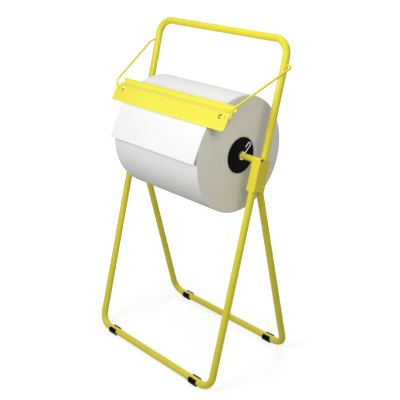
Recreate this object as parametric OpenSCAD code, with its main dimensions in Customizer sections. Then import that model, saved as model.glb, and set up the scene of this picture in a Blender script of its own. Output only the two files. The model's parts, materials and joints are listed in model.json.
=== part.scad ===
// Floor-standing roll dispenser: a folding tube stand that carries a large paper roll on a
// drop-in axle, with a tear bar that swings on two wire arms and rests on the roll.
// Millimetres. X runs along the axle, the front faces -Y and Z is up from the floor.

/* [Stand] */
// Distance between the axes of the two side tubes
stand_w = 536; // [510:2:600]
// Distance between the axes of the front and rear floor bars
foot_spread = 350; // [310:2:400]
// Outside diameter of the frame tube
tube_d = 22; // [20:0.5:24]
// Wall of the frame tube
tube_wall = 1.5; // [1:0.1:2.5]
// Lean of the front legs and of the top hoop from upright, in degrees
leg_lean = 15; // [13:0.5:17]
// Centreline radius of the bends beside the floor bars
foot_bend_r = 42; // [36:1:60]

/* [Top hoop] */
// Rise of the hoop's top bar above the sleeves, along the lean
hoop_rise = 345; // [310:1:400]
// Centreline radius of the hoop's bends
hoop_bend_r = 48; // [40:1:60]
// Distance of the wire arms' holes below the hoop's top bar
arm_hole_drop = 69; // [65:1:90]

/* [Sleeves] */
// Top edge of the sleeves above the front floor bar, along the legs
sleeve_top = 721; // [690:1:760]
// Length of a sleeve along the legs
sleeve_h = 91; // [86:1:110]
// Outside width of a sleeve along the axle
sleeve_w = 32; // [30:0.5:36]
// Sheet thickness of a sleeve
sleeve_wall = 2; // [1.5:0.1:2.5]
// Outside radius of a sleeve's folded corners
sleeve_corner_r = 4; // [3:0.5:6]
// Gap between the leg tube and the hoop tube inside a sleeve
tube_gap = 0.5; // [0.3:0.1:2]
// Diameter of the screws that hold the hoop in the sleeves
hoop_screw_d = 6; // [5:0.5:8]

/* [Rear leg pivot] */
// Height of the pivot above the lower edge of its sleeve
pivot_up = 16.5; // [15:0.5:19]
// Diameter of the pivot bolt
pivot_d = 8; // [6:0.5:10]
// Diameter of the bolt's domed head
pivot_head_d = 15; // [13:0.5:18]
// Width across the flats of the pivot nut
nut_af = 13; // [12:0.5:16]
// Height of the pivot nut
nut_h = 8; // [6:0.5:10]
// Diameter of the spacer rings beside the leg tube
spacer_d = 18; // [14:0.5:20]
// Length of the rear leg's tube end beyond its bolt hole's surround
leg_end = 1.5; // [1:0.1:3]
// Gap between the swinging tube end and the hoop's tube above it
swing_gap = 2; // [1:0.1:4]

/* [Axle] */
// Outside diameter of the axle tube
axle_d = 18; // [16:0.5:20]
// Wall of the axle tube
axle_wall = 2; // [1.5:0.1:3]
// Depth of the axle's axis below the sleeves' top edge
axle_sink = 1.5; // [0:0.5:6]
// Gap between each axle end and the outer wall of its sleeve
axle_end_gap = 4; // [2:0.5:8]

/* [Core flanges] */
// Diameter of the flange discs
flange_d = 110; // [96:1:130]
// Thickness of a flange disc
flange_t = 3; // [2:0.5:5]
// Length of the hub that plugs into the roll's core
hub_len = 42; // [30:1:60]
// Wall of the hub, its boss and its ribs
hub_wall = 3; // [2:0.5:4]
// Number of ribs between the boss and the hub
hub_ribs = 6; // [4:1:8]
// Outside diameter of the collars on the axle
collar_d = 25; // [23:0.5:32]
// Width of a collar along the axle
collar_w = 5; // [4:0.5:10]
// Wire diameter of the hairpin clips
clip_d = 2.6; // [2:0.2:4]
// Length of a hairpin clip's long leg
clip_len = 58; // [50:1:70]
// Length of a hairpin clip's tip below the axle
clip_tip = 5; // [3:0.5:8]
// Distance between a hairpin clip's two legs
clip_gap = 12; // [9:0.5:16]
// Length of a hairpin clip's short leg
clip_back = 20; // [12:1:24]
// Bend radius of a hairpin clip's loop
clip_bend_r = 4; // [2.5:0.5:4]
// Lean of the hairpin clips from upright, towards the back
clip_lean = 50; // [0:5:90]

/* [Paper roll] */
// Diameter of the full roll
roll_d = 356; // [250:2:360]
// Width of the paper
roll_len = 367; // [300:1:380]
// Distance of the roll's middle from the stand's middle
roll_shift = 11; // [0:1:14]
// Rounding of the roll's rims
roll_rim_r = 3; // [1:0.5:6]
// Outside diameter of the cardboard core
core_d = 76; // [70:1:84]
// Wall of the cardboard core
core_wall = 3; // [2:0.5:5]
// Thickness of the loose sheet
sheet_t = 0.5; // [0.4:0.1:1]
// Place where the sheet leaves the roll, in degrees above the front
sheet_leave = 28; // [20:1:36]
// Length of the sheet that hangs free below that place
sheet_free = 78; // [40:1:100]
// Radius of the free sheet's curl
sheet_curl_r = 800; // [400:50:1200]

/* [Tear bar] */
// Length of the tear bar
bar_len = 484; // [440:2:486]
// Distance of the bar's middle from the stand's middle
bar_shift = 13.5; // [0:0.5:14]
// Sheet thickness of the bar
bar_t = 1.5; // [1:0.1:2]
// Place of the bar's lower edge on the roll, in degrees above the front
bar_angle = 41.5; // [38:0.5:44]
// Height of the bar's face, from the lip to the fold
face_h = 41.5; // [38:0.5:46]
// Lean of the bar's face from upright, in degrees
face_lean = 31.5; // [29:0.5:34]
// Depth of the bar's shelf, from the fold to its rear bend
shelf_depth = 28; // [24:1:30]
// Rise of the bar's shelf towards the back, in degrees
shelf_rise = 8.5; // [8:0.5:12]
// Height of the upstand along the shelf's rear edge
upstand_h = 13.5; // [10:0.5:18]
// Lean of the upstand towards the back, in degrees
upstand_lean = 8; // [0:1:15]
// Length of the flared lip
lip_len = 8.5; // [6:0.5:10]
// Flare of the lip away from the roll, in degrees
lip_flare = 16; // [10:1:30]
// Radius of the corners at the lip's ends
lip_corner_r = 6; // [2:0.5:7]
// Centreline radius of the bar's folds
fold_r = 5; // [4:0.5:6]
// Radius of the punched openings
punch_r = 7.5; // [6:0.5:9]
// Distance of a punched opening's middle from the bar's end
punch_in = 31.5; // [30:0.5:40]
// Distance from a punched opening's middle to its straight side
punch_side = 3.5; // [2:0.5:4]
// Width of the slits between the straps and the bar's ends
slit_w = 1.6; // [1:0.1:2]
// Length of the straps that hold the wire arms
strap_w = 12; // [8:1:14]

/* [Wire arms] */
// Diameter of the arm wire
wire_d = 7; // [5:0.5:8]
// Distance of an arm's upper corner from its hoop tube
wire_out = 18; // [17:0.5:26]
// Centreline radius of the wire's bends
wire_bend_r = 11; // [8:0.5:11]
// Distance of the wire's lower run below the bar's fold, along the face
wire_tuck = 10.5; // [10:0.5:13]
// Height of the arm's lower corner above its run in the bar
wire_drop = 27; // [20:1:30]
// Distance of the arm's lower corner behind its run in the bar
wire_back = 4; // [0:0.5:6]

/* [Feet] */
// Length of a foot along its floor bar
foot_len = 30; // [20:1:40]
// Distance of a foot's middle from the side tube's axis
foot_in = 69; // [62:1:120]
// Wall of a foot's sole, under the tube
foot_wall = 3; // [2:0.5:5]
// Distance by which a foot's sides are thicker than its sole
foot_bulge = 1.5; // [0.5:0.5:3]
// Height to which a foot wraps above the tube's axis
foot_wrap = 9.5; // [4:0.5:10]

/* [Fits] */
// Clearance between pieces that rest on or in each other
rest_play = 0.3; // [0.2:0.05:0.5]
// Radial clearance of pins and hooks that turn in a hole
run_play = 0.08; // [0.03:0.01:0.1]
// Radial clearance of screws and clips in their holes
hole_play = 0.2; // [0.1:0.05:0.5]

/* [Hidden] */
$fn = 48;
tube_r = tube_d / 2;
axle_r = axle_d / 2;
roll_r = roll_d / 2;
wire_r = wire_d / 2;
hx = stand_w / 2;
bar_z = tube_r + foot_wall;

// Places along a leg (u) and behind the front leg's axis (v)
hoop_v = tube_d + tube_gap;
sleeve_low = sleeve_top - sleeve_h;
sleeve_front = -tube_r - rest_play - sleeve_wall;
sleeve_back = hoop_v + tube_r + rest_play + sleeve_wall;
hoop_top = sleeve_top + hoop_rise;
arm_hole_u = hoop_top - arm_hole_drop;
axle_u = sleeve_top - axle_sink;
axle_v = hoop_v - tube_r - axle_r - tube_gap;
leg_top = axle_u - axle_r - 2 * sleeve_wall;
pivot_u = sleeve_low + pivot_up;
pivot_v = hoop_v + tube_gap;
// The rear leg's tube end reaches this far past the pivot
pivot_over = tube_r + leg_end;
pivot_sweep = norm([pivot_over, tube_r]);
hoop_low = pivot_u + pivot_sweep + swing_gap;
hoop_screw_u = (hoop_low + sleeve_top) / 2;

// A point of the leg's plane as [y, z] of the stand
function leg_point(u, v) = [
    u * sin(leg_lean) + v * cos(leg_lean) - foot_spread / 2,
    u * cos(leg_lean) - v * sin(leg_lean) + bar_z
];
pivot_p = leg_point(pivot_u, pivot_v);
axle_p = leg_point(axle_u, axle_v);
arm_p = leg_point(arm_hole_u, hoop_v);
rear_run = foot_spread / 2 - pivot_p[0];
rear_rise = pivot_p[1] - bar_z;
rear_lean = atan2(rear_run, rear_rise);
rear_len = norm([rear_run, rear_rise]) + pivot_over;

// Sleeve interior and pivot stack along the axle
sleeve_in = sleeve_w / 2 - sleeve_wall;
spacer_t = sleeve_in - tube_r - 2 * run_play;
axle_half = hx + sleeve_in - axle_end_gap;

// Flanges, collars and clips, measured along the axle from the roll's middle
roll_half = roll_len / 2;
collar_at = roll_half + flange_t;
clip_at = collar_at + collar_w + rest_play + clip_d / 2;
core_r = core_d / 2 - core_wall;

// The loose sheet lies on the roll under the tear bar, and the bar rests on the sheet
sheet_r = roll_r + rest_play + sheet_t / 2;
sheet_tucked = bar_angle + 20 - sheet_leave;
sheet_lap = 0.2;
bar_r = sheet_r + sheet_t / 2 + rest_play + bar_t / 2;
function polar(r, angle) = axle_p + r * [-cos(angle), sin(angle)];
lip_root = polar(bar_r, bar_angle);
lip_lean = face_lean + lip_flare;
lip_tip = lip_root - lip_len * [sin(lip_lean), cos(lip_lean)];
fold_p = lip_root + face_h * [sin(face_lean), cos(face_lean)];
rear_bend = fold_p + shelf_depth * [cos(shelf_rise), sin(shelf_rise)];
upstand_top = rear_bend + upstand_h * [sin(upstand_lean), cos(upstand_lean)];
// The wire's lower run lies behind the face, inside the fold, and its bend beside the
// bar's end rises past the leaning face
wire_side = 1 + wire_r;
bend_in = 1 - wire_side / wire_bend_r;
bend_rise = wire_bend_r * (1 - sqrt(1 - bend_in * bend_in));
run_in = bar_t / 2 + 2 * rest_play + bend_rise * sin(face_lean) + wire_r;
run_p = fold_p - wire_tuck * [sin(face_lean), cos(face_lean)]
    + run_in * [cos(face_lean), -sin(face_lean)];
strap_t = 1.2;
strap_r = wire_r + rest_play;
strap_out = strap_r + strap_t;
strap_in = punch_in - punch_side - strap_w - 1;
slit_h = 2 * strap_out + 4;
wire_tip = punch_in + punch_r + 1;

// Swelling of a bend in wire or sheet, and the reach of a straight run into it
bend_swell = 0.02;
bend_lap = 0.2;

yellow = [0.93, 0.87, 0.22];
black = [0.06, 0.06, 0.07];
zinc = [0.78, 0.79, 0.80];
nylon = [0.90, 0.89, 0.84];
paper = [0.95, 0.95, 0.93];
cardboard = [0.66, 0.52, 0.36];

// Sweeps a section along a path of points whose corners are rounded to radius r.
// A flat section keeps its second axis along n. The runs reach into the bends by lap,
// and the bends, which swell a little as they are formed, take in $swell all round.
function unit(v) = v / norm(v);
function step_dir(p, i) = unit(p[i + 1] - p[i]);
function turn_at(p, i) = acos(step_dir(p, i - 1) * step_dir(p, i));
function setback(p, i, r) = i == 0 || i == len(p) - 1 ? 0 : r * tan(turn_at(p, i) / 2);
function square_to(a) = unit(cross(a, abs(a[0]) < 0.9 ? [1, 0, 0] : [0, 1, 0]));
function frame_at(o, x, y, z) = [
    [x[0], y[0], z[0], o[0]],
    [x[1], y[1], z[1], o[1]],
    [x[2], y[2], z[2], o[2]],
    [0, 0, 0, 1]
];

module sweep(p, r, n = undef, lap = 0) {
    last = len(p) - 2;
    for (i = [0 : last]) {
        $swell = 0;
        a = step_dir(p, i);
        m = is_undef(n) ? square_to(a) : n;
        from = setback(p, i, r) - (i == 0 ? 0 : lap);
        to = norm(p[i + 1] - p[i]) - setback(p, i + 1, r) + (i == last ? 0 : lap);
        multmatrix(frame_at(p[i] + a * from, cross(m, a), m, a)) linear_extrude(to - from) children();
    }
    for (i = [1 : last]) {
        $swell = lap > 0 ? bend_swell : 0;
        a = step_dir(p, i - 1);
        m = unit(cross(a, step_dir(p, i)));
        e = cross(a, m);
        centre = p[i] - a * setback(p, i, r) - e * r;
        multmatrix(frame_at(centre, e, a, m))
            rotate_extrude(angle = turn_at(p, i)) translate([r, 0]) children();
    }
}

module ring(outer, inner) {
    difference() {
        circle(r = outer);
        circle(r = inner);
    }
}

module tube_section() {
    ring(tube_r, tube_r - tube_wall);
}

// A cylinder along X between two stations
module x_rod(r, x0, x1) {
    translate([x0, 0, 0]) rotate([0, 90, 0]) cylinder(r = r, h = x1 - x0);
}

module on_leg() {
    translate([0, -foot_spread / 2, bar_z]) rotate([-leg_lean, 0, 0]) children();
}

module on_rear_leg() {
    translate([0, foot_spread / 2, bar_z]) rotate([rear_lean, 0, 0]) children();
}

module on_pivot() {
    translate([0, pivot_p[0], pivot_p[1]]) children();
}

module on_axle() {
    translate([0, axle_p[0], axle_p[1]]) children();
}

module on_face() {
    translate([bar_shift, fold_p[0], fold_p[1]]) rotate([-face_lean, 0, 0]) children();
}

module on_lip() {
    translate([bar_shift, lip_tip[0], lip_tip[1]]) rotate([-lip_lean, 0, 0]) children();
}

// Right-hand children for side 1, mirrored for side -1
module side(s) {
    mirror([s < 0 ? 1 : 0, 0, 0]) children();
}

// Tube frames
module u_frame(low, high, bend_r) {
    sweep([[-hx, 0, high], [-hx, 0, low], [hx, 0, low], [hx, 0, high]], bend_r) tube_section();
}

module front_leg_hoop() {
    color(yellow) on_leg() u_frame(0, leg_top, foot_bend_r);
}

module rear_leg_hoop() {
    cut_h = 2 * sleeve_h;
    color(yellow) difference() {
        on_rear_leg() u_frame(0, rear_len, foot_bend_r);
        // The open leg's tube end is cut back flat, and stops against the front leg
        on_leg() translate([-stand_w, -stand_w, sleeve_low - sleeve_h / 2])
            cube([2 * stand_w, stand_w + tube_r + rest_play, cut_h]);
        on_pivot() x_rod(pivot_d / 2 + run_play, -stand_w, stand_w);
    }
}

module top_hoop() {
    color(yellow) difference() {
        on_leg() translate([0, hoop_v, 0]) u_frame(hoop_top, hoop_low, hoop_bend_r);
        for (s = [-1, 1]) {
            translate([0, arm_p[0], arm_p[1]]) side(s) x_rod(wire_r + run_play, hx, hx + tube_d);
            on_leg() translate([s * hx, hoop_v, hoop_screw_u]) rotate([-90, 0, 0])
                cylinder(r = hoop_screw_d / 2 + run_play, h = tube_d);
        }
    }
}

// Folded box sleeves that join the three frames
module sleeve_section(grow) {
    r = sleeve_corner_r + grow;
    x = sleeve_w / 2 + grow;
    y0 = sleeve_front - grow;
    y1 = sleeve_back + grow;
    translate([-x + r, y0]) square([2 * (x - r), y1 - y0]);
    translate([-x, y0 + r]) square([2 * x, y1 - y0 - 2 * r]);
    for (cx = [-x + r, x - r], cy = [y0 + r, y1 - r]) translate([cx, cy]) circle(r = r);
}

module sleeve() {
    relief_h = hoop_low - sleeve_low;
    notch_r = axle_r + rest_play;
    on_leg() translate([hx, 0, 0]) difference() {
        translate([0, 0, sleeve_low]) linear_extrude(sleeve_h) difference() {
            sleeve_section(0);
            sleeve_section(-sleeve_wall);
        }
        // Drop-in seat for the axle in the inner wall
        translate([0, axle_v, axle_u]) {
            x_rod(notch_r, -sleeve_w, 0);
            translate([-sleeve_w, -notch_r, 0]) cube([sleeve_w, 2 * notch_r, sleeve_h]);
        }
        translate([0, pivot_v, pivot_u]) x_rod(pivot_d / 2 + hole_play, -sleeve_w, sleeve_w);
        // The back wall is open below, where the rear leg swings out
        translate([-sleeve_in, hoop_v, sleeve_low - 1])
            cube([2 * sleeve_in, sleeve_back, relief_h + 1]);
        translate([0, hoop_v, hoop_screw_u]) rotate([-90, 0, 0])
            cylinder(r = hoop_screw_d / 2 + hole_play, h = sleeve_back);
    }
}

module left_sleeve() {
    color(yellow) side(-1) sleeve();
}

module right_sleeve() {
    color(yellow) sleeve();
}

// Saddle feet that clip on the floor bars
module foot(x, y) {
    outer = bar_z + foot_bulge;
    color(black) translate([x - foot_len / 2, y, bar_z])
        rotate([90, 0, 90]) linear_extrude(foot_len) difference() {
            intersection() {
                circle(r = outer);
                translate([-outer - 1, -bar_z]) square([2 * (outer + 1), bar_z + foot_wrap]);
            }
            circle(r = tube_r + hole_play);
        }
}

module front_left_foot() {
    foot(foot_in - hx, -foot_spread / 2);
}

module front_right_foot() {
    foot(hx - foot_in, -foot_spread / 2);
}

module rear_left_foot() {
    foot(foot_in - hx, foot_spread / 2);
}

module rear_right_foot() {
    foot(hx - foot_in, foot_spread / 2);
}

// A bolt along X: domed head outwards from x, shank of length run inwards
module domed_bolt(d, head_d, run) {
    dome_h = head_d / 4;
    dome_r = (head_d * head_d / 4 + dome_h * dome_h) / (2 * dome_h);
    rotate([0, 90, 0]) rotate_extrude() {
        translate([0, -run]) square([d / 2, run]);
        intersection() {
            translate([0, dome_h - dome_r]) circle(r = dome_r);
            square([head_d, dome_h]);
        }
    }
}

module pivot_bolts() {
    grip = sleeve_w + nut_h + 1;
    color(yellow) for (s = [-1, 1])
        on_pivot() side(s) translate([hx + sleeve_w / 2, 0, 0]) domed_bolt(pivot_d, pivot_head_d, grip);
}

module pivot_nuts() {
    color(zinc) for (s = [-1, 1])
        on_pivot() side(s) translate([hx - sleeve_w / 2 - nut_h, 0, 0]) rotate([0, 90, 0])
            difference() {
                cylinder(d = nut_af / cos(30), h = nut_h, $fn = 6);
                translate([0, 0, -1]) cylinder(r = pivot_d / 2 + run_play, h = nut_h + 2);
            }
}

module pivot_spacers() {
    color(nylon) for (s = [-1, 1], wall = [-1, 1])
        on_pivot() translate([s * hx + wall * (tube_r + run_play + spacer_t / 2), 0, 0])
            rotate([0, 90, 0]) linear_extrude(spacer_t, center = true)
                ring(spacer_d / 2, pivot_d / 2 + run_play);
}

module hoop_screws() {
    color(zinc) for (s = [-1, 1])
        on_leg() translate([s * hx, sleeve_back, hoop_screw_u]) rotate([0, 0, 90])
            domed_bolt(hoop_screw_d, 2 * hoop_screw_d, sleeve_wall + rest_play + tube_r / 2);
}

// Axle and what sits on it
module axle() {
    color(yellow) on_axle() difference() {
        x_rod(axle_r, -axle_half, axle_half);
        x_rod(axle_r - axle_wall, -axle_half - 1, axle_half + 1);
        for (s = [-1, 1]) translate([roll_shift + s * clip_at, 0, 0]) rotate([-clip_lean, 0, 0])
            cylinder(r = clip_d / 2 + hole_play, h = 2 * axle_d, center = true);
    }
}

// Disc with a raised rim and bead, and a ribbed hub that plugs into the core
module core_flange() {
    hub_r = core_r - rest_play;
    boss_r = axle_r + run_play + hub_wall;
    rim_r = flange_d / 2;
    bead = 2;
    difference() {
        union() {
            rotate([0, 90, 0]) rotate_extrude() {
                square([rim_r - flange_t / 2, flange_t]);
                translate([rim_r - flange_t / 2, flange_t / 2]) circle(d = flange_t);
                translate([rim_r - 4 * bead, flange_t - bead / 2]) circle(r = bead);
                translate([hub_r - bead, flange_t - bead / 2]) circle(r = bead);
            }
            rotate([0, 90, 0]) translate([0, 0, -hub_len]) linear_extrude(hub_len) {
                ring(hub_r, hub_r - hub_wall);
                ring(boss_r, axle_r / 2);
                for (i = [0 : hub_ribs - 1]) rotate(i * 360 / hub_ribs)
                    translate([boss_r - 1, -hub_wall / 2]) square([hub_r - boss_r - hub_wall + 2, hub_wall]);
            }
        }
        x_rod(axle_r + run_play, -hub_len - 1, flange_d);
    }
}

module left_core_flange() {
    color(black) on_axle() translate([roll_shift - roll_half, 0, 0]) side(-1) core_flange();
}

module right_core_flange() {
    color(black) on_axle() translate([roll_shift + roll_half, 0, 0]) core_flange();
}

module axle_collars() {
    color(zinc) for (s = [-1, 1])
        on_axle() translate([roll_shift + s * (collar_at + collar_w / 2), 0, 0]) rotate([0, 90, 0])
            linear_extrude(collar_w, center = true) ring(collar_d / 2, axle_r + run_play);
}

// Hairpin clip: a long leg through the axle, a loop, and a short leg that ends beside the axle
module hairpin_clip(s) {
    below = axle_r + clip_tip;
    loop_z = clip_len - below;
    path = [
        [0, 0, -below],
        [0, 0, loop_z],
        [0, -clip_gap, loop_z],
        [0, -clip_gap, loop_z - clip_back]
    ];
    color(zinc) on_axle() translate([roll_shift + s * clip_at, 0, 0]) rotate([-clip_lean, 0, 0])
        sweep(path, clip_bend_r, lap = bend_lap) circle(r = clip_d / 2 + $swell);
}

module left_hairpin_clip() {
    hairpin_clip(-1);
}

module right_hairpin_clip() {
    hairpin_clip(1);
}

// Roll
module core_tube() {
    color(cardboard) on_axle() translate([roll_shift - roll_half, 0, 0]) rotate([0, 90, 0])
        linear_extrude(roll_len) ring(core_d / 2, core_r);
}

module paper_roll() {
    inner = core_d / 2 + rest_play;
    rim = roll_r - roll_rim_r;
    color(paper) on_axle() translate([roll_shift, 0, 0]) rotate([0, 90, 0]) rotate_extrude() {
        translate([inner, -roll_half]) square([rim - inner, roll_len]);
        translate([inner, roll_rim_r - roll_half]) square([roll_r - inner, roll_len - 2 * roll_rim_r]);
        for (s = [-1, 1]) translate([rim, s * (roll_half - roll_rim_r)]) circle(r = roll_rim_r);
    }
}

// The outer sheet follows the roll under the tear bar, then curls out and hangs free
module arc_sheet(r, t, from, angle) {
    rotate([from, 0, 0]) rotate([0, 90, 0]) rotate(90) rotate_extrude(angle = angle, $fn = 96)
        translate([r - t / 2, -roll_half]) square([t, roll_len]);
}

module loose_sheet() {
    curl = sheet_free / sheet_curl_r * 180 / PI;
    curl_c = polar(sheet_r - sheet_curl_r, sheet_leave);
    color(paper) translate([roll_shift, 0, 0]) {
        on_axle() arc_sheet(sheet_r, sheet_t, 180 - sheet_leave - sheet_tucked, sheet_tucked + sheet_lap);
        translate([0, curl_c[0], curl_c[1]])
            arc_sheet(sheet_curl_r, sheet_t + 2 * bend_swell, 180 - sheet_leave, curl);
    }
}

// Wire arms: a hook in the hoop's hole, a long run down to the bar, and a run inside the bar
module wire_arm(s) {
    corner_x = s * (hx + tube_r + wire_out);
    end_x = bar_shift + s * bar_len / 2;
    path = [
        [s * hx, arm_p[0], arm_p[1]],
        [corner_x, arm_p[0], arm_p[1]],
        [end_x + s * wire_side, run_p[0] + wire_back, run_p[1] + wire_drop],
        [end_x + s * wire_side, run_p[0], run_p[1]],
        [end_x - s * wire_tip, run_p[0], run_p[1]]
    ];
    color(yellow) sweep(path, wire_bend_r, lap = bend_lap) circle(r = wire_r + $swell);
}

module left_wire_arm() {
    wire_arm(-1);
}

module right_wire_arm() {
    wire_arm(1);
}

// Folded tear bar with punched openings and pressed straps round the wires
module tear_bar() {
    profile = [for (p = [lip_tip, lip_root, fold_p, rear_bend, upstand_top]) [bar_shift, p[0], p[1]]];
    color(yellow) difference() {
        union() {
            sweep(profile, fold_r, [1, 0, 0], bend_lap)
                square([bar_t + 2 * $swell, bar_len], center = true);
            for (s = [-1, 1]) on_face() side(s)
                translate([bar_len / 2 - strap_in - strap_w, run_in, -wire_tuck])
                    rotate([0, 90, 0]) linear_extrude(strap_w) difference() {
                        union() {
                            circle(r = strap_out);
                            translate([-strap_out, -run_in]) square([2 * strap_out, run_in]);
                        }
                        circle(r = strap_r);
                        translate([-strap_r, -run_in]) square([2 * strap_r, run_in]);
                        translate([-wire_d, -run_in - wire_d]) square([2 * wire_d, wire_d]);
                    }
        }
        for (s = [-1, 1]) on_lip() side(s) translate([bar_len / 2 - lip_corner_r, 0, 0])
            rotate([90, 0, 0]) linear_extrude(4 * bar_t, center = true) difference() {
                translate([0, -1]) square(lip_corner_r + 1);
                translate([0, lip_corner_r]) circle(r = lip_corner_r);
            }
        for (s = [-1, 1]) on_face() side(s) translate([bar_len / 2, 0, -wire_tuck]) {
            // Opening with one straight side, beside each strap
            translate([-punch_in, 0, 0]) intersection() {
                rotate([90, 0, 0]) cylinder(r = punch_r, h = 4 * bar_t, center = true);
                translate([punch_side - punch_r, 0, 0]) cube(2 * punch_r, center = true);
            }
            // Slit at the strap's other side
            translate([-strap_in + slit_w / 2, 0, 0]) cube([slit_w, 4 * bar_t, slit_h], center = true);
        }
    }
}

front_leg_hoop();
rear_leg_hoop();
top_hoop();
left_sleeve();
right_sleeve();
front_left_foot();
front_right_foot();
rear_left_foot();
rear_right_foot();
pivot_bolts();
pivot_nuts();
pivot_spacers();
hoop_screws();
axle();
left_core_flange();
right_core_flange();
axle_collars();
left_hairpin_clip();
right_hairpin_clip();
core_tube();
paper_roll();
loose_sheet();
left_wire_arm();
right_wire_arm();
tear_bar();
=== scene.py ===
import json
import math
import random

import bmesh
import bpy
from bpy.props import FloatProperty, FloatVectorProperty, IntProperty, PointerProperty
from mathutils import Matrix, Vector, noise


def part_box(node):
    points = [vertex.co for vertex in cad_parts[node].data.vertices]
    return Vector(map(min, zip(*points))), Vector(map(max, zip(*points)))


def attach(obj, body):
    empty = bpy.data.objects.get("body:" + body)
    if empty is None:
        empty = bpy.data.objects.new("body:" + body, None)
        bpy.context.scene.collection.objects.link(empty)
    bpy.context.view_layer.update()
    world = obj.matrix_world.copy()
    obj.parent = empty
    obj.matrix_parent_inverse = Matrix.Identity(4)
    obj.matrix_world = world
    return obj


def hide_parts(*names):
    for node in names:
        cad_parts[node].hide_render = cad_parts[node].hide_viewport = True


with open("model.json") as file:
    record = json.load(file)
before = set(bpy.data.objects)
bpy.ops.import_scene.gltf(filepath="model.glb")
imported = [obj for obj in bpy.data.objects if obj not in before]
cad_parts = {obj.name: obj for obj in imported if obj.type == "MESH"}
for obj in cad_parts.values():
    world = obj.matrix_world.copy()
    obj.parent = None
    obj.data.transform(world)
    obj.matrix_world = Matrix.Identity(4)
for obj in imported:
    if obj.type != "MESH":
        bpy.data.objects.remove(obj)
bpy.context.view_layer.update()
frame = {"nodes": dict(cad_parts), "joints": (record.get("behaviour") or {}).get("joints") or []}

bl_info = {
    "name": "Paper Roll Dispenser",
    "version": (1, 0, 0),
    "blender": (4, 5, 0),
    "location": "View3D > Sidebar > Dispenser",
    "description": "Paint, plastic, plating, paper and stage of a floor-standing paper dispenser",
    "category": "Object",
}

ROLL_LOW, ROLL_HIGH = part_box("paper_roll")
CORE_LOW, CORE_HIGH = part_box("core_tube")
SPIN = next(j for j in frame["joints"] if j["name"] == "roll_spin")
AXLE = Vector(SPIN["pos_m"])
ROLL_R = (ROLL_HIGH.z - ROLL_LOW.z) / 2
CORE_R = (CORE_HIGH.z - CORE_LOW.z) / 2
AXLE_LOW, AXLE_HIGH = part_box("axle")
AXLE_R = (AXLE_HIGH.z - AXLE_LOW.z) / 2
ALONG = Vector((1, 0, 0))

AXLE_WALL = 0.0018  # wall of the axle tube, in metres as all lengths are
CORE_PLAY = 0.0003  # gap between core and paper
END_SKIN = 0.0012  # depth that still counts as the roll's cut end
SAME_PLACE = 0.00001  # points nearer than this are one
FLOOR_REACH = 9.0  # half the floor's width
FLOOR_DROP = 0.0004  # how far the floor lies under the soles
SENSOR_MM = 36.0
CLIP_END = 50.0
WHITE = (1.0, 1.0, 1.0, 1.0)

# Each lamp's direction from the roll, its distance and its width.
LAMPS = {
    "key": (Vector((0.0, -0.927, 0.375)), 1.25, 0.8),
    "top": (Vector((0.0, 0.0, 1.0)), 1.25, 0.8),
    "fill": (Vector((0.772, -0.393, 0.5)), 1.5, 0.6),
    "back": (Vector((-0.35, 0.85, 0.4)), 1.8, 1.0),
}

STAND_SET = (
    "front_leg_hoop", "rear_leg_hoop", "top_hoop", "left_sleeve", "right_sleeve", "pivot_bolts",
)
BAR_SET = ("left_wire_arm", "right_wire_arm", "tear_bar")
MOULDED = (
    "front_left_foot", "front_right_foot", "rear_left_foot", "rear_right_foot",
    "left_core_flange", "right_core_flange",
)
PLATED = ("axle_collars", "left_hairpin_clip", "right_hairpin_clip", "pivot_nuts", "hoop_screws")


class PaperSettings(bpy.types.PropertyGroup):
    """Sizes and colours of the wound roll and of its free end."""

    colour: FloatVectorProperty(
        name="Paper", description="Colour of the paper's face",
        subtype="COLOR", size=3, min=0, max=1, default=(0.78, 0.785, 0.765))
    # The cut-end colour is paler than the face colour: partly the warm layered cut paper, partly
    # painted light for ends that the key light misses.
    end_colour: FloatVectorProperty(
        name="Cut Ends", description="Colour of the roll's cut end faces",
        subtype="COLOR", size=3, min=0, max=1, default=(0.91, 0.88, 0.80))
    emboss_pitch: FloatProperty(
        name="Emboss Pitch", description="Distance between the pressed dots of the paper",
        unit="LENGTH", default=0.0032, min=0.001, max=0.01)
    emboss_depth: FloatProperty(
        name="Emboss Depth", description="Height of the pressed dots",
        unit="LENGTH", default=0.00012, min=0, max=0.0005)
    rim: FloatProperty(
        name="Rim", description="Rounding of the roll's outer rims",
        unit="LENGTH", default=0.003, min=0.001, max=0.01)
    layer_step: FloatProperty(
        name="Layer Step",
        description="How far single bands of layers stand back from the roll's ends",
        unit="LENGTH", default=0.0003, min=0, max=0.001)
    slack: FloatProperty(
        name="Slack", description="How far the outer layers dip between their tight places",
        unit="LENGTH", default=0.0005, min=0, max=0.001)
    turns: IntProperty(
        name="Turn Steps", description="Steps in one turn of the roll",
        default=192, min=64, max=256)
    lift: FloatProperty(
        name="Sheet Lift", description="Gap between the roll and the free end that lies on it",
        unit="LENGTH", default=0.0004, min=0.0002, max=0.001)
    thickness: FloatProperty(
        name="Sheet Thickness", description="Thickness of the free end",
        unit="LENGTH", default=0.00035, min=0.0001, max=0.001)
    leaves_at: FloatProperty(
        name="Leaves At", description="Angle above the front at which the free end leaves the roll",
        subtype="ANGLE", default=math.radians(28))
    tucked: FloatProperty(
        name="Tucked Angle",
        description="Angle of the free end that still lies on the roll under the tear bar",
        subtype="ANGLE", default=math.radians(33.5))
    free: FloatProperty(
        name="Free Length", description="Length of paper that hangs in front of the roll",
        unit="LENGTH", default=0.078, min=0.02, max=0.3)
    curl: FloatProperty(
        name="Curl", description="Radius of the curve in which the free end hangs",
        unit="LENGTH", default=0.8, min=0.15, max=2)
    ripple: FloatProperty(
        name="Ripple", description="Height of the soft waves along the free edge",
        unit="LENGTH", default=0.0014, min=0, max=0.005)
    tuft: FloatProperty(
        name="Torn Tufts",
        description="Length of the tufts that the perforation leaves on the torn edge",
        unit="LENGTH", default=0.0011, min=0, max=0.003)


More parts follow.
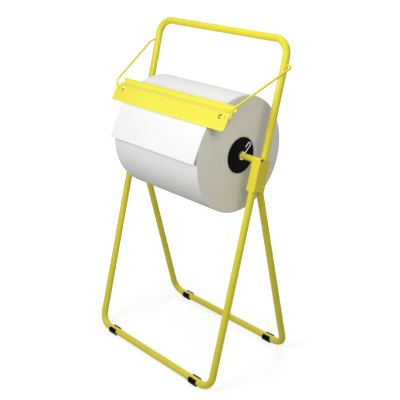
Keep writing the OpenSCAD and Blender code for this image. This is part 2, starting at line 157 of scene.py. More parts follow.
class FinishSettings(bpy.types.PropertyGroup):
    """Colours of the hard pieces."""

    paint: FloatVectorProperty(
        name="Paint", description="Powder coat of the frame, sleeves and axle",
        subtype="COLOR", size=3, min=0, max=1, default=(0.765, 0.675, 0.028))
    # Paler than the frame's coat as painted light: the brightly lit tear bar and arms look paler,
    # though they likely wear the frame's paint.
    bar_paint: FloatVectorProperty(
        name="Bar Paint", description="Powder coat of the tear bar and its arms, a shade paler",
        subtype="COLOR", size=3, min=0, max=1, default=(0.755, 0.69, 0.055))
    plastic: FloatVectorProperty(
        name="Plastic", description="Moulded feet and core flanges",
        subtype="COLOR", size=3, min=0, max=1, default=(0.0035, 0.0035, 0.0038))
    zinc: FloatVectorProperty(
        name="Zinc", description="Plating of collars, clips, nuts and screws",
        subtype="COLOR", size=3, min=0, max=1, default=(0.70, 0.70, 0.69))
    nylon: FloatVectorProperty(
        name="Nylon", description="Spacer rings at the leg pivots",
        subtype="COLOR", size=3, min=0, max=1, default=(0.74, 0.72, 0.64))
    board: FloatVectorProperty(
        name="Board", description="Spiral wound core of the roll",
        subtype="COLOR", size=3, min=0, max=1, default=(0.36, 0.24, 0.13))


class StageSettings(bpy.types.PropertyGroup):
    """Camera, light and floor."""

    camera_at: FloatVectorProperty(
        name="Camera", description="Place of the camera",
        subtype="TRANSLATION", unit="LENGTH", size=3, default=(1.543879, -1.472277, 1.392195))
    azimuth: FloatProperty(
        name="Azimuth", description="Turn of the camera round the upright", subtype="ANGLE",
        default=math.radians(45.606))
    elevation: FloatProperty(
        name="Elevation", description="Tilt of the camera below the horizon", subtype="ANGLE",
        default=math.radians(22.421))
    roll: FloatProperty(
        name="Roll", description="Turn of the camera about its own line of sight", subtype="ANGLE",
        default=math.radians(0.362))
    lens: FloatProperty(
        name="Lens", description="Focal length in millimetres on a 36 mm sensor",
        default=65.04, min=20, max=200)
    key: FloatProperty(
        name="Key Light",
        description="Brightness that the key light gives a white surface facing it",
        default=0.60, min=0, max=2)
    top: FloatProperty(
        name="Top Light",
        description="Brightness that the top light gives a white surface facing it",
        default=0.26, min=0, max=2)
    fill: FloatProperty(
        name="Fill Light",
        description="Brightness that the fill light gives a white surface facing it",
        default=0.265, min=0, max=2)
    back: FloatProperty(
        name="Back Light",
        description="Brightness that the back light gives a white surface facing it",
        default=0.26, min=0, max=2)
    ambient: FloatProperty(
        name="Ambient", description="Brightness of the light from all round",
        default=0.30, min=0, max=2)
    floor: FloatVectorProperty(
        name="Floor", description="Colour of the floor", subtype="COLOR", size=3, min=0, max=1,
        default=(0.44, 0.44, 0.44))
    floor_glow: FloatProperty(
        name="Floor White",
        description="Plain white that shows on top of the lit floor near the stand",
        default=0.68, min=0, max=1)


def fill_in(tree, node, inputs):
    """Links a node's inputs, given by name or number, to other nodes or sets their values."""
    for name, value in inputs.items():
        if isinstance(value, bpy.types.NodeSocket):
            tree.links.new(value, node.inputs[name])
        else:
            node.inputs[name].default_value = value


def place(tree, kind, inputs=None, **settings):
    """Adds a shader node, makes its settings, and fills its inputs with values or links."""
    node = tree.nodes.new("ShaderNode" + kind)
    for name, value in settings.items():
        setattr(node, name, value)
    fill_in(tree, node, inputs or {})
    return node


def math_of(tree, operation, *values):
    """Output of a Math node."""
    return place(tree, "Math", dict(enumerate(values)), operation=operation).outputs[0]


def vector_of(tree, operation, *values):
    """Output of a Vector Math node that gives a vector."""
    return place(tree, "VectorMath", dict(enumerate(values)), operation=operation).outputs["Vector"]


def length_of(tree, vector):
    """Length of a vector."""
    return place(tree, "VectorMath", {0: vector}, operation="LENGTH").outputs["Value"]


def scaled(tree, colour, factor):
    """A colour made lighter or darker by a factor."""
    inputs = {0: colour, "Scale": factor}
    return place(tree, "VectorMath", inputs, operation="SCALE").outputs["Vector"]


def noise_of(tree, **inputs):
    """Value of a noise texture over a surface."""
    return place(tree, "TexNoise", inputs).outputs[0]


def spread(tree, value, low, high, to_low=0.0, to_high=1.0):
    """Output of a smooth Map Range from low..high to to_low..to_high."""
    node = place(
        tree, "MapRange",
        {"Value": value, "From Min": low, "From Max": high, "To Min": to_low, "To Max": to_high},
        interpolation_type="SMOOTHSTEP")
    return node.outputs["Result"]


def blend_colours(tree, factor, first, second):
    """Output of a colour Mix node."""
    return place(tree, "Mix", {0: factor, 6: first, 7: second}, data_type="RGBA").outputs[2]


def bump(tree, height, strength, **normal):
    """Normal that a height in metres gives a surface."""
    inputs = {"Height": height, "Distance": 1.0, "Strength": strength, **normal}
    return place(tree, "Bump", inputs).outputs[0]


def opaque(colour):
    """A colour with full alpha."""
    return (*colour, 1.0)


def new_group(name, inputs, outputs):
    """An empty shader group with named sockets, with its input and output sides."""
    tree = bpy.data.node_groups.new(name, "ShaderNodeTree")
    for label, kind in inputs:
        tree.interface.new_socket(label, in_out="INPUT", socket_type="NodeSocket" + kind)
    for label, kind in outputs:
        tree.interface.new_socket(label, in_out="OUTPUT", socket_type="NodeSocket" + kind)
    start = tree.nodes.new("NodeGroupInput")
    end = tree.nodes.new("NodeGroupOutput")
    return tree, start.outputs, end.inputs


def use_group(tree, group, **inputs):
    """Outputs of a group placed in a material."""
    return place(tree, "Group", inputs, node_tree=group).outputs


def grain_group():
    """Fine relief of a coat or moulding: Size is the width of a grain, Depth its height."""
    name = "surface_grain"
    if name in bpy.data.node_groups:
        return bpy.data.node_groups[name]
    tree, start, end = new_group(
        name, [("Vector", "Vector"), ("Size", "Float"), ("Depth", "Float")],
        [("Height", "Float"), ("Mask", "Float")])
    scale = math_of(tree, "DIVIDE", 1.0, start["Size"])
    speckle = noise_of(tree, Vector=start["Vector"], Scale=scale, Detail=2.0)
    tree.links.new(speckle, end["Mask"])
    tree.links.new(math_of(tree, "MULTIPLY", speckle, start["Depth"]), end["Height"])
    return tree


def drift_group():
    """Slow change of a colour over a surface, and the field that makes it."""
    name = "colour_drift"
    if name in bpy.data.node_groups:
        return bpy.data.node_groups[name]
    tree, start, end = new_group(
        name, [("Color", "Color"), ("Vector", "Vector"), ("Size", "Float"), ("Amount", "Float")],
        [("Color", "Color"), ("Field", "Float")])
    scale = math_of(tree, "DIVIDE", 1.0, start["Size"])
    cloud = noise_of(tree, Vector=start["Vector"], Scale=scale, Detail=3.0)
    centred = math_of(tree, "SUBTRACT", cloud, 0.5)
    gain = math_of(tree, "MULTIPLY_ADD", centred, start["Amount"], 1.0)
    tree.links.new(scaled(tree, start["Color"], gain), end["Color"])
    tree.links.new(cloud, end["Field"])
    return tree


def edge_group():
    """Rounded normal of sharp edges, and a mask of those edges broken up as a coat wears, which the
    coat also uses for a painted edge highlight.
    """
    name = "edge_thinning"
    if name in bpy.data.node_groups:
        return bpy.data.node_groups[name]
    tree, start, end = new_group(
        name, [("Vector", "Vector"), ("Radius", "Float")],
        [("Mask", "Float"), ("Normal", "Vector")])
    rounded = place(tree, "Bevel", {"Radius": start["Radius"]}, samples=6).outputs[0]
    flat = place(tree, "NewGeometry").outputs["Normal"]
    facing = place(tree, "VectorMath", {0: rounded, 1: flat}, operation="DOT_PRODUCT")
    edge = spread(tree, facing.outputs["Value"], 0.99, 0.80)
    patches = noise_of(tree, Vector=start["Vector"], Scale=60.0, Detail=3.0)
    broken = spread(tree, patches, 0.35, 0.70)
    tree.links.new(math_of(tree, "MULTIPLY", edge, broken), end["Mask"])
    tree.links.new(rounded, end["Normal"])
    return tree


def dust_group():
    """Thin dust that settles on faces that look up."""
    name = "settled_dust"
    if name in bpy.data.node_groups:
        return bpy.data.node_groups[name]
    tree, start, end = new_group(
        name, [("Vector", "Vector"), ("Amount", "Float")], [("Mask", "Float")])
    normal = place(tree, "NewGeometry").outputs["Normal"]
    up = place(tree, "SeparateXYZ", {0: normal}).outputs["Z"]
    lying = spread(tree, up, 0.35, 0.95)
    clumps = noise_of(tree, Vector=start["Vector"], Scale=35.0, Detail=4.0)
    thin = spread(tree, clumps, 0.38, 0.75)
    amount = math_of(tree, "MULTIPLY", lying, start["Amount"])
    tree.links.new(math_of(tree, "MULTIPLY", thin, amount), end["Mask"])
    return tree


def emboss_group():
    """Staggered pressed dots of soft wiping paper, with its fibres."""
    name = "paper_emboss"
    if name in bpy.data.node_groups:
        return bpy.data.node_groups[name]
    tree, start, end = new_group(
        name, [("Vector", "Vector"), ("Pitch", "Float"), ("Depth", "Float")],
        [("Height", "Float"), ("Fibres", "Float")])
    axes = place(tree, "SeparateXYZ", {0: start["Vector"]}).outputs
    wave = math_of(tree, "DIVIDE", math.tau, start["Pitch"])
    across = math_of(tree, "SINE", math_of(tree, "MULTIPLY", axes["X"], wave))
    down = math_of(tree, "SINE", math_of(tree, "MULTIPLY", axes["Y"], wave))
    dots = spread(tree, math_of(tree, "MULTIPLY", across, down), -0.2, 0.9)
    fibres = noise_of(tree, Vector=start["Vector"], Scale=900.0, Detail=3.0, Roughness=0.7)
    relief = math_of(tree, "MULTIPLY_ADD", fibres, 0.5, dots)
    tree.links.new(math_of(tree, "MULTIPLY", relief, start["Depth"]), end["Height"])
    tree.links.new(fibres, end["Fibres"])
    return tree


def new_material(name):
    """An empty material with its Principled shader and its Object coordinates."""
    material = bpy.data.materials.new(name)
    material.use_nodes = True
    tree = material.node_tree
    tree.nodes.clear()
    shader = place(tree, "BsdfPrincipled")
    place(tree, "OutputMaterial", {"Surface": shader.outputs[0]})
    spot = place(tree, "TexCoord").outputs["Object"]
    return material, tree, shader, spot


def plug(tree, shader, **links):
    """Links or sets the Principled shader's inputs, spaces in their names given as underscores."""
    fill_in(tree, shader, {name.replace("_", " "): value for name, value in links.items()})


def powder_coat(name, colour, bore=0.0):
    """Satin powder coat: orange peel, slow drift, thinner and paler on edges with a painted
    highlight there, a breath of dust.

    Within the bore's radius of the axle line the coat is coloured near black, a painted shade for
    the deep bore."""
    material, tree, shader, spot = new_material(name)
    drift = use_group(
        tree, drift_group(), Color=opaque(colour), Vector=spot, Size=0.09, Amount=0.10)
    edges = use_group(tree, edge_group(), Vector=spot, Radius=0.0009)
    peel = use_group(tree, grain_group(), Vector=spot, Size=0.0016, Depth=0.00005)
    dust = use_group(tree, dust_group(), Vector=spot, Amount=0.10)
    # Paler edge colour: partly a thinner, worn coat and partly a painted highlight along the edges.
    pale = tuple(min(1.0, 0.75 * c + 0.22) for c in colour)
    grey_dust = (0.80, 0.77, 0.62, 1.0)
    thin_coat_and_highlight = math_of(tree, "MULTIPLY", edges["Mask"], 0.35)
    coat = blend_colours(tree, thin_coat_and_highlight, drift["Color"], opaque(pale))
    coat = blend_colours(tree, dust["Mask"], coat, grey_dust)
    if bore:
        # Painted shade: inside the bore the colour is near black and stands in for the shade deep
        # in the hole.
        painted_bore_shade = (0.010, 0.009, 0.008, 1.0)
        offset = vector_of(tree, "SUBTRACT", spot, AXLE)
        away = length_of(tree, vector_of(tree, "MULTIPLY", offset, (0.0, 1.0, 1.0)))
        in_shaded_bore = spread(tree, away, bore, bore - 0.0004)
        coat = blend_colours(tree, in_shaded_bore, coat, painted_bore_shade)
    gloss = spread(tree, peel["Mask"], 0.25, 0.75, to_low=0.32, to_high=0.44)
    dulled = math_of(tree, "MULTIPLY_ADD", dust["Mask"], 1.5, gloss)
    relief = bump(tree, peel["Height"], 0.6, Normal=edges["Normal"])
    plug(tree, shader, Base_Color=coat, Roughness=dulled, Normal=relief, Specular_IOR_Level=0.3)
    return material


def black_moulding(colour):
    """Matt black moulding with a spark-eroded grain, paler where it is rubbed."""
    material, tree, shader, spot = new_material("black_moulding")
    drift = use_group(
        tree, drift_group(), Color=opaque(colour), Vector=spot, Size=0.03, Amount=0.5)
    grain = use_group(tree, grain_group(), Vector=spot, Size=0.0007, Depth=0.00006)
    edges = use_group(tree, edge_group(), Vector=spot, Radius=0.0006)
    dust = use_group(tree, dust_group(), Vector=spot, Amount=0.05)
    rubbed_black = (0.018, 0.018, 0.019, 1.0)
    grey_dust = (0.30, 0.29, 0.27, 1.0)
    rubbed = math_of(tree, "MULTIPLY", edges["Mask"], 0.5)
    skin = blend_colours(tree, rubbed, drift["Color"], rubbed_black)
    skin = blend_colours(tree, dust["Mask"], skin, grey_dust)
    gloss = spread(tree, grain["Mask"], 0.3, 0.7, to_low=0.46, to_high=0.62)
    relief = bump(tree, grain["Height"], 0.5, Normal=edges["Normal"])
    plug(tree, shader, Base_Color=skin, Roughness=gloss, Normal=relief, Specular_IOR_Level=0.03)
    return material


def zinc_plate(colour):
    """Bright zinc plate with drawn streaks and a faint cloudy bloom."""
    material, tree, shader, spot = new_material("bright_zinc")
    drift = use_group(
        tree, drift_group(), Color=opaque(colour), Vector=spot, Size=0.012, Amount=0.30)
    drawn = place(tree, "Mapping", {"Vector": spot, "Scale": (0.15, 1.0, 1.0)}).outputs[0]
    streaks = use_group(tree, grain_group(), Vector=drawn, Size=0.0006, Depth=0.00002)
    milky_bloom = (0.78, 0.77, 0.74, 1.0)
    bloom = spread(tree, drift["Field"], 0.35, 0.7, to_low=0.0, to_high=0.35)
    plate = blend_colours(tree, bloom, drift["Color"], milky_bloom)
    gloss = spread(tree, streaks["Mask"], 0.3, 0.7, to_low=0.28, to_high=0.42)
    relief = bump(tree, streaks["Height"], 0.5)
    plug(tree, shader, Base_Color=plate, Roughness=gloss, Normal=relief, Metallic=1.0)
    return material


def natural_nylon(colour):
    """Milky nylon with a soft moulding grain."""
    material, tree, shader, spot = new_material("natural_nylon")
    drift = use_group(
        tree, drift_group(), Color=opaque(colour), Vector=spot, Size=0.006, Amount=0.2)
    grain = use_group(tree, grain_group(), Vector=spot, Size=0.0009, Depth=0.00003)
    gloss = spread(tree, grain["Mask"], 0.3, 0.7, to_low=0.34, to_high=0.48)
    relief = bump(tree, grain["Height"], 0.4)
    plug(tree, shader, Base_Color=drift["Color"], Roughness=gloss, Normal=relief)
    return material


def spiral_board(colour):
    """Brown board wound in a spiral, with a seam at every turn."""
    material, tree, shader, spot = new_material("spiral_board")
    middle = (0.0, -AXLE.y, -AXLE.z)
    centred = place(tree, "Mapping", {"Vector": spot, "Location": middle}).outputs[0]
    axes = place(tree, "SeparateXYZ", {0: centred}).outputs
    turn = math_of(tree, "ARCTAN2", axes["Z"], axes["Y"])
    pitch = 0.09
    run = math_of(tree, "MULTIPLY_ADD", turn, pitch / math.tau, axes["X"])
    phase = math_of(tree, "FRACT", math_of(tree, "DIVIDE", run, pitch))
    off_seam = math_of(tree, "ABSOLUTE", math_of(tree, "SUBTRACT", phase, 0.5))
    seam = spread(tree, off_seam, 0.012, 0.0)
    drift = use_group(
        tree, drift_group(), Color=opaque(colour), Vector=spot, Size=0.02, Amount=0.35)
    fibre = use_group(tree, grain_group(), Vector=spot, Size=0.0011, Depth=0.00008)
    dark = tuple(0.55 * c for c in colour)
    shaded = math_of(tree, "MULTIPLY", seam, 0.7)
    board = blend_colours(tree, shaded, drift["Color"], opaque(dark))
    gloss = spread(tree, fibre["Mask"], 0.3, 0.7, to_low=0.70, to_high=0.86)
    height = math_of(tree, "MULTIPLY_ADD", seam, -0.0002, fibre["Height"])
    relief = bump(tree, height, 0.6)
    plug(tree, shader, Base_Color=board, Roughness=gloss, Normal=relief, Specular_IOR_Level=0.2)
    return material


def wiping_paper(name, paper, wound):
    """Soft white embossed paper. The cut ends of a wound roll are warmer and show their layers;
    they are also paler than the face, painted light for the ends that the key light misses.
    """
    material, tree, shader, spot = new_material(name)
    flat = place(tree, "UVMap", uv_map="paper").outputs[0]
    drift = use_group(
        tree, drift_group(), Color=opaque(paper.colour), Vector=spot, Size=0.05, Amount=0.035)
    emboss = use_group(
        tree, emboss_group(), Vector=flat, Pitch=paper.emboss_pitch, Depth=paper.emboss_depth)
    face = drift["Color"]
    height = emboss["Height"]
    if wound:
        ends = place(tree, "Attribute", attribute_name="cut_end").outputs["Fac"]
        radius = place(tree, "SeparateXYZ", {0: flat}).outputs["X"]
        bands = place(
            tree, "TexNoise", {"W": radius, "Scale": 420.0, "Detail": 4.0, "Roughness": 0.65},
            noise_dimensions="1D").outputs[0]
        clouds = noise_of(tree, Vector=spot, Scale=26.0, Detail=4.0)
        tone = math_of(tree, "MULTIPLY_ADD", clouds, 0.35, bands)
        shade = spread(tree, tone, 0.40, 0.95, to_low=0.95, to_high=1.03)
        # Cut-end colour: warmer layered tone of the cut paper, and paler than the face as painted
        # light for the ends that the key light misses.
        layers = scaled(tree, tuple(paper.end_colour), shade)
        face = blend_colours(tree, ends, face, layers)
        cut = math_of(tree, "MULTIPLY", bands, 0.00012)
        fuzz = math_of(tree, "MULTIPLY_ADD", emboss["Fibres"], 0.00010, cut)
        height = place(tree, "Mix", {0: ends, 2: height, 3: fuzz}, data_type="FLOAT").outputs[0]
    gloss = spread(tree, emboss["Fibres"], 0.3, 0.7, to_low=0.80, to_high=0.95)
    relief = bump(tree, height, 0.7)
    plug(
        tree, shader, Base_Color=face, Roughness=gloss, Normal=relief,
        Specular_IOR_Level=0.15, Sheen_Weight=0.08, Sheen_Roughness=0.6)
    return material


def shows_white(tree):
    """1 for rays that show the white room: from the camera, off gloss and through glass."""
    rays = place(tree, "LightPath").outputs
    seen = math_of(tree, "MAXIMUM", rays["Is Camera Ray"], rays["Is Glossy Ray"])
    return math_of(tree, "MAXIMUM", seen, rays["Is Transmission Ray"])


def finish_nodes(nodes, material):
    """Gives CAD nodes their material."""
    for name in nodes:
        piece = frame["nodes"][name]
        if not piece.material_slots:
            piece.data.materials.append(material)
        for holder in piece.material_slots:
            holder.material = material


def settle_order(items, place_of):
    """Numbers points or faces by where they lie, so that every run gives the same mesh."""
    for number, item in enumerate(sorted(items, key=lambda item: place_of(item)[:])):
        item.index = number
    items.sort()


def new_piece(name, shape, material):
    """An object at the origin from a finished bmesh."""
    settle_order(shape.verts, lambda vertex: vertex.co)
    settle_order(shape.faces, lambda face: face.calc_center_median())
    mesh = bpy.data.meshes.new(name)
    shape.to_mesh(mesh)
    shape.free()
    mesh.materials.append(material)
    piece = bpy.data.objects.new(name, mesh)
    bpy.context.scene.collection.objects.link(piece)
    return piece


def radial(point, centre=AXLE):
    """Distance of a point from a line along the axle, and its angle above the front."""
    out = point - centre
    return math.hypot(out.y, out.z), math.atan2(out.z, -out.y)


def from_end(point):
    """How far inside the nearer end of the roll a point lies."""
    return min(point.x - ROLL_LOW.x, ROLL_HIGH.x - point.x)


def at_front(radius, angle, centre=AXLE, x=0.0):
    """The point at a distance from a line along the axle, at an angle above the front."""
    return Vector((x, centre.y - radius * math.cos(angle), centre.z + radius * math.sin(angle)))


class DISPENSER_OT_set_stage(bpy.types.Operator):
    """Set the camera, the surroundings, the floor and the soft studio light"""

    bl_idname = "dispenser.set_stage"
    bl_label = "Set Stage"

    def execute(self, context):
        stage = context.scene.dispenser_stage
        context.scene.view_settings.view_transform = "Standard"
        self.set_camera(context, stage)
        self.set_world(context, stage)
        self.lay_floor(stage)
        for name in LAMPS:
            self.hang_lamp(context, name, getattr(stage, name))
        return {"FINISHED"}

    def set_camera(self, context, stage):
        """The camera as it was fitted to the photograph."""
        lens = bpy.data.cameras.new("photo_camera")
        lens.lens = stage.lens
        lens.sensor_width = SENSOR_MM
        lens.clip_end = CLIP_END
        camera = bpy.data.objects.new("photo_camera", lens)
        facing = Matrix.Rotation(stage.azimuth, 4, "Z")
        facing @= Matrix.Rotation(math.pi / 2 - stage.elevation, 4, "X")
        facing @= Matrix.Rotation(stage.roll, 4, "Z")
        camera.matrix_world = Matrix.Translation(stage.camera_at) @ facing
        context.scene.collection.objects.link(camera)
        context.scene.camera = camera

    def set_world(self, context, stage):
        """White all round for the eye, and a weaker even light for the object."""
        world = bpy.data.worlds.new("studio")
        world.use_nodes = True
        tree = world.node_tree
        tree.nodes.clear()
        level = place(
            tree, "MapRange", {"Value": shows_white(tree), "To Min": stage.ambient, "To Max": 1.0})
        sky = place(tree, "Background", {"Color": WHITE, "Strength": level.outputs[0]})
        place(tree, "OutputWorld", {"Surface": sky.outputs[0]})
        context.scene.world = world

    def lay_floor(self, stage):
        """A pale floor that keeps the stand's soft shadow and turns plain white further out."""
        shape = bmesh.new()
        bmesh.ops.create_grid(shape, x_segments=4, y_segments=4, size=FLOOR_REACH)
        bmesh.ops.translate(shape, vec=Vector((0, 0, -FLOOR_DROP)), verts=shape.verts)
        material = bpy.data.materials.new("pale_floor")
        material.use_nodes = True
        tree = material.node_tree
        tree.nodes.clear()
        spot = place(tree, "TexCoord").outputs["Object"]
        tone = use_group(
            tree, drift_group(), Color=opaque(stage.floor), Vector=spot, Size=0.8, Amount=0.02)
        matt = place(tree, "BsdfDiffuse", {"Color": tone["Color"]})
        white = spread(tree, length_of(tree, spot), 0.3, 0.9, to_low=stage.floor_glow)
        level = math_of(tree, "MULTIPLY", shows_white(tree), white)
        glow = place(tree, "Emission", {"Color": WHITE, "Strength": level})
        both = place(tree, "AddShader", {0: matt.outputs[0], 1: glow.outputs[0]})
        place(tree, "OutputMaterial", {"Surface": both.outputs[0]})
        new_piece("studio_floor", shape, material)

    def hang_lamp(self, context, name, level):
        """A round soft lamp that faces the roll and gives white there the wanted brightness."""
        towards, distance, width = LAMPS[name]
        towards = towards.normalized()
        lamp = bpy.data.lights.new(name + "_light", "AREA")
        lamp.shape = "DISK"
        lamp.size = width
        # A lamp of P watts lights a white face at distance d to P / (pi * d) ** 2.
        lamp.energy = level * (math.pi * distance) ** 2
        light = bpy.data.objects.new(name + "_light", lamp)
        light.location = AXLE + towards * distance
        light.rotation_mode = "QUATERNION"
        light.rotation_quaternion = towards.to_track_quat("Z", "Y")
        context.scene.collection.objects.link(light)


class DISPENSER_OT_coat_frame(bpy.types.Operator):
    """Powder coat the tube frames, sleeves, axle, wire arms and tear bar"""

    bl_idname = "dispenser.coat_frame"
    bl_label = "Coat Frame"

    def execute(self, context):
        finish = context.scene.dispenser_finish
        finish_nodes(STAND_SET, powder_coat("yellow_powder_coat", finish.paint))
        # The bar's paler coat is painted light for the brightly lit tear bar and its arms.
        finish_nodes(BAR_SET, powder_coat("pale_lit_powder_coat", finish.bar_paint))
        axle_coat = powder_coat("axle_powder_coat", finish.paint, bore=AXLE_R - AXLE_WALL)
        finish_nodes(("axle",), axle_coat)
        return {"FINISHED"}


class DISPENSER_OT_mould_plastic(bpy.types.Operator):
    """Finish the moulded feet, core flanges and pivot spacers"""

    bl_idname = "dispenser.mould_plastic"
    bl_label = "Mould Plastic"

    def execute(self, context):
        finish = context.scene.dispenser_finish
        finish_nodes(MOULDED, black_moulding(finish.plastic))
        finish_nodes(("pivot_spacers",), natural_nylon(finish.nylon))
        return {"FINISHED"}


class DISPENSER_OT_plate_hardware(bpy.types.Operator):
    """Plate the collars, hairpin clips, nuts and screws"""

    bl_idname = "dispenser.plate_hardware"
    bl_label = "Plate Hardware"

    def execute(self, context):
        finish_nodes(PLATED, zinc_plate(context.scene.dispenser_finish.zinc))
        return {"FINISHED"}


class DISPENSER_OT_wind_core(bpy.types.Operator):
    """Finish the spiral wound board core"""

    bl_idname = "dispenser.wind_core"
    bl_label = "Wind Core"

    def execute(self, context):
        finish_nodes(("core_tube",), spiral_board(context.scene.dispenser_finish.board))
        return {"FINISHED"}


class DISPENSER_OT_wind_roll(bpy.types.Operator):
    """Wind the paper roll, with uneven layers on its ends"""

    bl_idname = "dispenser.wind_roll"
    bl_label = "Wind Roll"

    layer_cuts = 64
    length_cuts = 72
    step_chance = 0.55
    seed = 7
    # How fast the noise changes along, round and outwards, and where it starts.
    dips_along, dips_round = 6.0, 2.2
    wavers_out, wavers_round, wavers_from = 60.0, 1.5, 9.0

    def execute(self, context):
        paper = context.scene.dispenser_paper
        shape = bmesh.new()
        self.draw_section(shape, paper)
        bmesh.ops.spin(
            shape, geom=shape.verts[:] + shape.edges[:], cent=AXLE, axis=ALONG,
            angle=math.tau, steps=paper.turns, use_merge=True)
        bmesh.ops.remove_doubles(shape, verts=shape.verts, dist=SAME_PLACE)
        bmesh.ops.recalc_face_normals(shape, faces=shape.faces)
        self.lay_out(shape)
        self.slacken(shape, paper)
        for face in shape.faces:
            face.smooth = True
        roll = new_piece("wound_roll", shape, wiping_paper("wound_paper", paper, wound=True))
        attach(roll, "roll_set")
        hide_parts("paper_roll")
        return {"FINISHED"}

    def draw_section(self, shape, paper):
        """The wall from core to outside, cut along the axle, with round rims and stepped ends."""
        bore = CORE_R + CORE_PLAY
        left, right = ROLL_LOW.x, ROLL_HIGH.x
        corners = [
            shape.verts.new(at_front(radius, math.pi / 2, x=x))
            for x, radius in ((left, bore), (left, ROLL_R), (right, ROLL_R), (right, bore))
        ]
        for first, second in zip(corners, corners[1:] + corners[:1]):
            shape.edges.new((first, second))
        bmesh.ops.bevel(
            shape, geom=corners[1:3], offset=paper.rim, offset_type="OFFSET", segments=5,
            profile=0.5, affect="VERTICES", material=-1)
        layers, lengths = [], []
        for edge in shape.edges:
            run = edge.verts[1].co - edge.verts[0].co
            if run.length > 5 * paper.rim:
                if abs(run.x) < SAME_PLACE:
                    layers.append(edge)
                elif radial(edge.verts[0].co)[0] > 2 * CORE_R:
                    lengths.append(edge)
        bmesh.ops.subdivide_edges(shape, edges=layers, cuts=self.layer_cuts)
        bmesh.ops.subdivide_edges(shape, edges=lengths, cuts=self.length_cuts)
        chance = random.Random(self.seed)
        step = 0.0
        for vertex in sorted(shape.verts, key=lambda v: (v.co.x > 0, radial(v.co)[0])):
            on_core = radial(vertex.co)[0] < bore + SAME_PLACE
            if from_end(vertex.co) < SAME_PLACE and not on_core:
                if chance.random() < self.step_chance:
                    step = chance.random() ** 2 * paper.layer_step
                vertex.co.x += step if vertex.co.x < 0 else -step

    def lay_out(self, shape):
        """UV in metres, along or outwards and then round. The cut ends are marked."""
        flat = shape.loops.layers.uv.new("paper")
        ends = shape.verts.layers.float.new("cut_end")
        for vertex in shape.verts:
            vertex[ends] = 1.0 if from_end(vertex.co) < END_SKIN else 0.0
        for face in shape.faces:
            facing_end = abs(face.normal.x) > 0.7
            middle = radial(face.calc_center_median())[1]
            for loop in face.loops:
                radius, angle = radial(loop.vert.co)
                angle += math.tau * round((middle - angle) / math.tau)
                loop[flat].uv = (radius if facing_end else loop.vert.co.x, angle * ROLL_R)

    def slacken(self, shape, paper):
        """Lets the outside dip a little between its tight places, and the ends waver."""
        for vertex in shape.verts:
            radius, angle = radial(vertex.co)
            front, up = math.cos(angle), math.sin(angle)
            if radius > ROLL_R - 2 * paper.rim:
                dip = noise.noise(Vector((
                    vertex.co.x * self.dips_along, front * self.dips_round, up * self.dips_round)))
                slack = paper.slack * (0.5 - 0.5 * dip)
                vertex.co = at_front(radius - slack, angle, x=vertex.co.x)
            waver = noise.noise(Vector((
                radius * self.wavers_out, front * self.wavers_round,
                up * self.wavers_round + self.wavers_from)))
            back = 0.5 * paper.layer_step * (0.5 + 0.5 * waver)
            if from_end(vertex.co) < END_SKIN:
                vertex.co.x += back if vertex.co.x < AXLE.x else -back


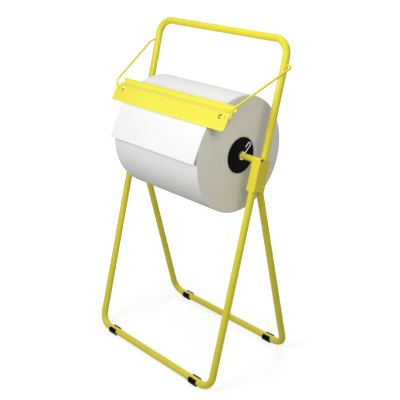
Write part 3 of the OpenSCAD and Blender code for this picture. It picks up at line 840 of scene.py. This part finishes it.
class DISPENSER_OT_hang_sheet(bpy.types.Operator):
    """Hang the free end of the paper from under the tear bar"""

    bl_idname = "dispenser.hang_sheet"
    bl_label = "Hang Sheet"

    width_cuts = 183
    laid_steps = 36
    hung_steps = 40
    seed = 11
    # How fast the noise changes across and along the paper, and where it starts.
    waves_across, waves_along, waves_from = 11.0, 4.0, 3.0
    # Share of the free length that stays calm, and the torn edge's tufts.
    calm_share = 0.35
    tuft_every = 3
    least_tuft = 0.35

    def execute(self, context):
        paper = context.scene.dispenser_paper
        lies = ROLL_R + paper.lift
        middle = at_front(lies - paper.curl, paper.leaves_at)
        shape = bmesh.new()
        first = paper.leaves_at + paper.tucked
        line = shape.edges.new([
            shape.verts.new(at_front(lies, first, x=x)) for x in (ROLL_LOW.x, ROLL_HIGH.x)])
        bmesh.ops.subdivide_edges(shape, edges=[line], cuts=self.width_cuts)
        laid = bmesh.ops.spin(
            shape, geom=shape.verts[:] + shape.edges[:], cent=AXLE, axis=ALONG,
            angle=paper.tucked, steps=self.laid_steps)
        bmesh.ops.spin(
            shape, geom=laid["geom_last"], cent=middle, axis=ALONG,
            angle=paper.free / paper.curl, steps=self.hung_steps)
        bmesh.ops.remove_doubles(shape, verts=shape.verts, dist=SAME_PLACE)
        self.face_out(shape)
        self.lay_out(shape, paper, middle)
        self.soften(shape, paper, middle)
        bmesh.ops.solidify(shape, geom=shape.faces[:], thickness=-paper.thickness)
        for face in shape.faces:
            face.smooth = True
        sheet = new_piece("free_sheet", shape, wiping_paper("free_paper", paper, wound=False))
        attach(sheet, "stand")
        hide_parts("loose_sheet")
        return {"FINISHED"}

    def face_out(self, shape):
        """Turns the faces away from the roll."""
        bmesh.ops.recalc_face_normals(shape, faces=shape.faces)
        shape.faces.ensure_lookup_table()
        first = shape.faces[0]
        if first.normal.dot(first.calc_center_median() - AXLE) < 0:
            bmesh.ops.reverse_faces(shape, faces=shape.faces)

    def run_to(self, point, paper, middle):
        """Length of paper from the tucked end to a point."""
        angle = radial(point)[1]
        if angle > paper.leaves_at:
            return (paper.leaves_at + paper.tucked - angle) * (ROLL_R + paper.lift)
        hung = paper.leaves_at - radial(point, middle)[1]
        return paper.tucked * (ROLL_R + paper.lift) + hung * paper.curl

    def lay_out(self, shape, paper, middle):
        """UV in metres: across the width and along the paper."""
        flat = shape.loops.layers.uv.new("paper")
        for face in shape.faces:
            for loop in face.loops:
                loop[flat].uv = (loop.vert.co.x, self.run_to(loop.vert.co, paper, middle))

    def soften(self, shape, paper, middle):
        """Waves that grow towards the free edge, and the tufts of a torn perforation along it."""
        chance = random.Random(self.seed)
        tucked = paper.tucked * (ROLL_R + paper.lift)
        edge, moved = [], []
        for vertex in shape.verts:
            run = self.run_to(vertex.co, paper, middle)
            share = (run - tucked) / paper.free
            grown = max(0.0, (share - self.calm_share) / (1 - self.calm_share)) ** 1.5
            wave = noise.noise(Vector((
                vertex.co.x * self.waves_across, run * self.waves_along, self.waves_from)))
            moved.append((vertex, vertex.normal * (paper.ripple * grown * wave)))
            if share > 0.999:
                edge.append(vertex)
        for vertex, shift in moved:
            vertex.co += shift
        hangs_at = paper.leaves_at - paper.free / paper.curl
        along = at_front(1, hangs_at - math.pi / 2, Vector((0, 0, 0)))
        for index, vertex in enumerate(sorted(edge, key=lambda v: v.co.x)):
            left_on = 0.0
            if index % self.tuft_every == 1:
                left_on = paper.tuft * chance.uniform(self.least_tuft, 1.0)
            vertex.co -= along * (paper.tuft - left_on)


class DISPENSER_PT_sidebar(bpy.types.Panel):
    """Lists the steps that dress the dispenser and the values they use"""

    bl_idname = "DISPENSER_PT_sidebar"
    bl_label = "Paper Roll Dispenser"
    bl_space_type = "VIEW_3D"
    bl_region_type = "UI"
    bl_category = "Dispenser"

    def draw(self, context):
        for step in STEPS:
            self.layout.operator(step.bl_idname)
        for owner in SETTINGS:
            settings = getattr(context.scene, owner)
            box = self.layout.box()
            for name in settings.bl_rna.properties.keys():
                if name not in ("rna_type", "name"):
                    box.prop(settings, name)


STEPS = (
    DISPENSER_OT_set_stage,
    DISPENSER_OT_coat_frame,
    DISPENSER_OT_mould_plastic,
    DISPENSER_OT_plate_hardware,
    DISPENSER_OT_wind_core,
    DISPENSER_OT_wind_roll,
    DISPENSER_OT_hang_sheet,
)
SETTINGS = {
    "dispenser_paper": PaperSettings,
    "dispenser_finish": FinishSettings,
    "dispenser_stage": StageSettings,
}
CLASSES = (*SETTINGS.values(), *STEPS, DISPENSER_PT_sidebar)


def register():
    """Registers the settings, the steps and the panel."""
    for kind in CLASSES:
        bpy.utils.register_class(kind)
    for name, kind in SETTINGS.items():
        setattr(bpy.types.Scene, name, PointerProperty(type=kind))


def unregister():
    """Takes out what register() put in."""
    for name in SETTINGS:
        delattr(bpy.types.Scene, name)
    for kind in reversed(CLASSES):
        bpy.utils.unregister_class(kind)


def main():
    register()
    bpy.ops.dispenser.set_stage()
    bpy.ops.dispenser.coat_frame()
    bpy.ops.dispenser.mould_plastic()
    bpy.ops.dispenser.plate_hardware()
    bpy.ops.dispenser.wind_core()
    bpy.ops.dispenser.wind_roll()
    bpy.ops.dispenser.hang_sheet()


if __name__ == "__main__":
    main()
